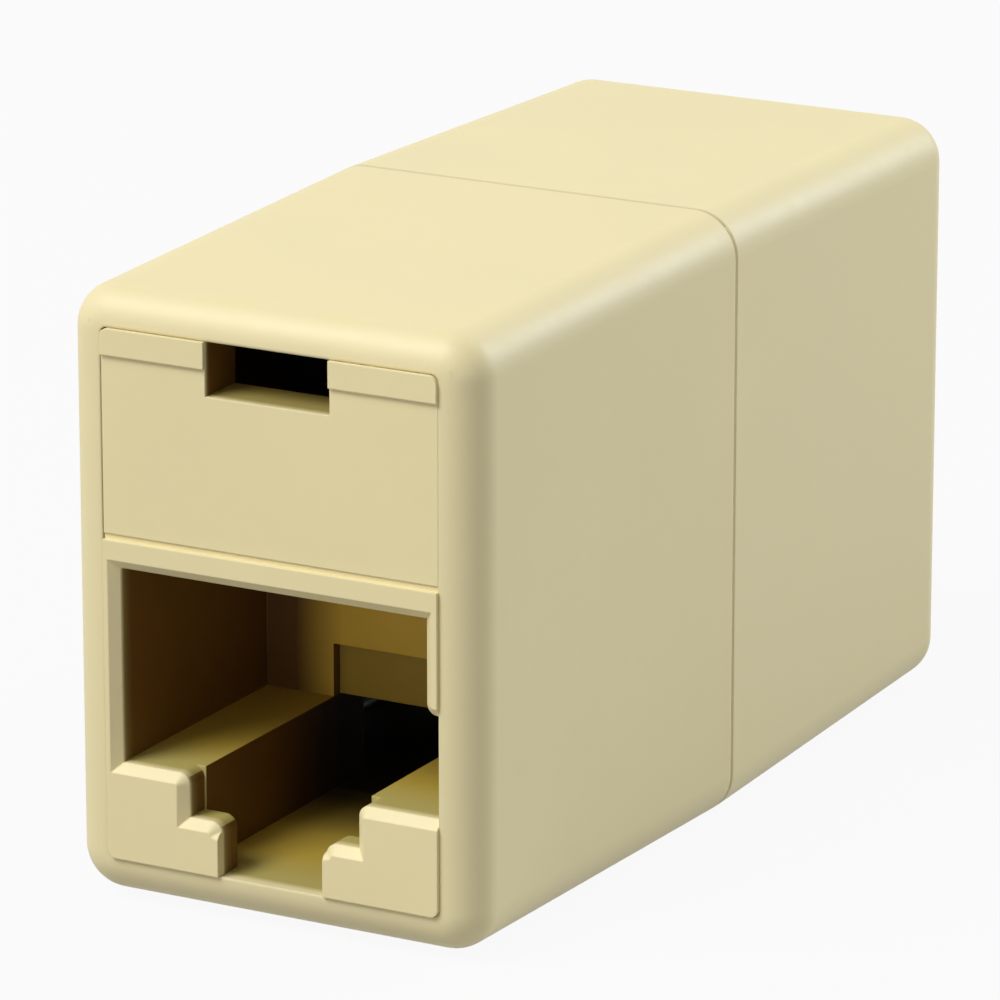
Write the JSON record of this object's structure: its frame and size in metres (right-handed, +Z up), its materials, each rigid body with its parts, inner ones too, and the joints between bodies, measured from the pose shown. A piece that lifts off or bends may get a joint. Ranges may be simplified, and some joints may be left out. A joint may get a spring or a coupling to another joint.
{
  "type": "rj45 inline coupler",
  "caption": "Straight in-line coupler in a two-half ivory case, with a modular plug port at each end and gilt spring contacts joined through an inner board.",
  "frame": {"origin": "under the middle of the seam, on the plane that the case touches when it stands", "axes": "+Z up, +Y along the coupler towards its rear port, +X across it, to the right when the front port is looked into"},
  "size_m": [0.0164, 0.0366, 0.0222],
  "materials": {
    "case_plastic": "satin",
    "block_plastic": "satin",
    "carrier_plastic": "matte",
    "gilt_contact": "polished",
    "board_laminate": "satin",
    "solder": "satin"
  },
  "bodies": {
    "root": {"front_shell": "case_plastic", "rear_shell": "case_plastic", "front_jack_block": "block_plastic", "rear_jack_block": "block_plastic", "front_contact_carrier": "carrier_plastic", "rear_contact_carrier": "carrier_plastic", "circuit_board": "board_laminate", "front_solder_joints": "solder", "rear_solder_joints": "solder", "front_contact_1": "gilt_contact", "front_contact_2": "gilt_contact", "front_contact_3": "gilt_contact", "front_contact_4": "gilt_contact", "front_contact_5": "gilt_contact", "front_contact_6": "gilt_contact", "front_contact_7": "gilt_contact", "front_contact_8": "gilt_contact", "rear_contact_1": "gilt_contact", "rear_contact_2": "gilt_contact", "rear_contact_3": "gilt_contact", "rear_contact_4": "gilt_contact", "rear_contact_5": "gilt_contact", "rear_contact_6": "gilt_contact", "rear_contact_7": "gilt_contact", "rear_contact_8": "gilt_contact"}
  },
  "joints": []
}
